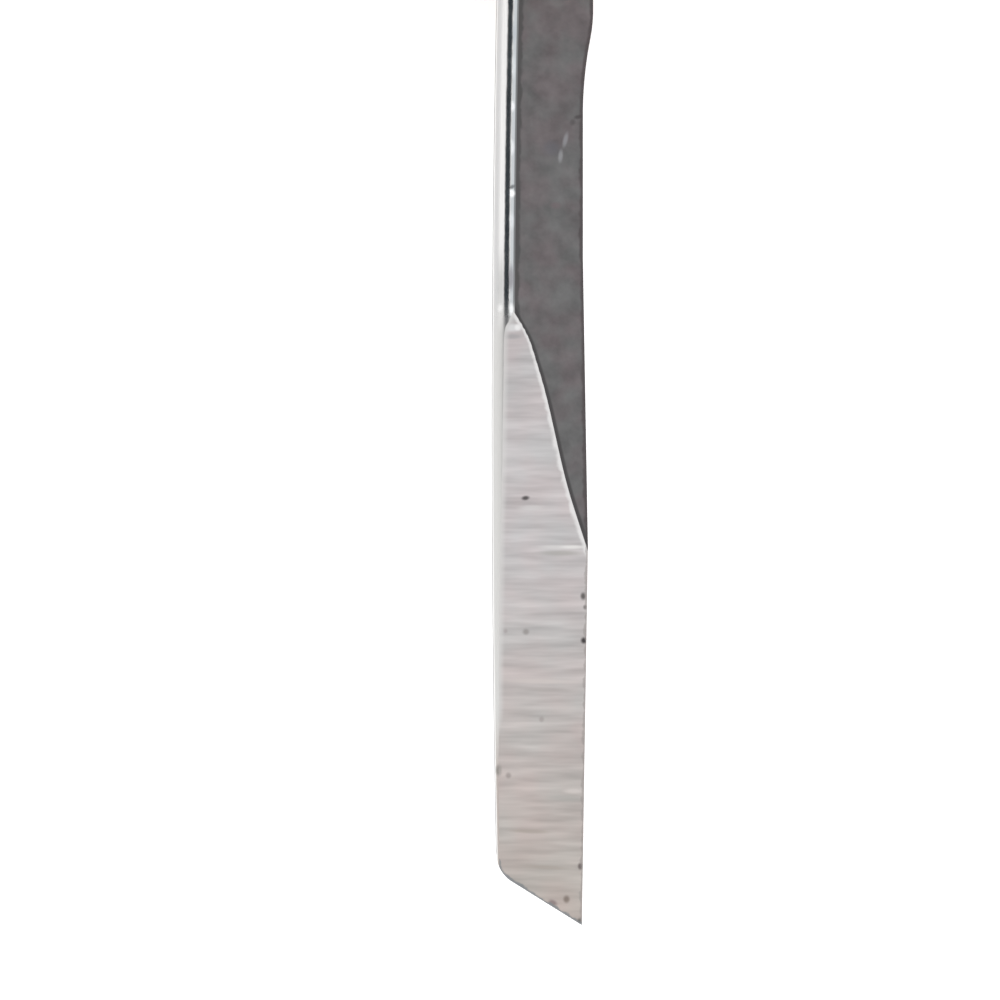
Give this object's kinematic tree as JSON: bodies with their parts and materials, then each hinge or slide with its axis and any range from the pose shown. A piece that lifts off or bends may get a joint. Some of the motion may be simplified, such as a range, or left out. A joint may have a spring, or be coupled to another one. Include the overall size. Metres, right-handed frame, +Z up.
{
  "type": "chip carving knife",
  "caption": "Slim carving knife with a straight cutting edge, a skewed front end and a crowned spine, its tang pinned in a split barrel handle behind a brass ferrule.",
  "frame": {"origin": "centre of the knife's plan at the level of the handle's lower flat", "axes": "+Y along the handle's axis from the tip to the butt, +X towards the cutting edge, +Z up out of the ground face"},
  "size_m": [0.023, 0.172, 0.016],
  "materials": {
    "blade_steel": "tool steel, ground satin at the end, heat-darkened neck, polished spine",
    "handle_wood": "oiled beech",
    "fitting_brass": "turned and filed brass, lightly polished"
  },
  "bodies": {
    "root": {"blade": "blade_steel", "handle_upper": "handle_wood", "handle_lower": "handle_wood", "ferrule": "fitting_brass", "front_pin": "fitting_brass", "rear_pin": "fitting_brass"}
  },
  "joints": []
}
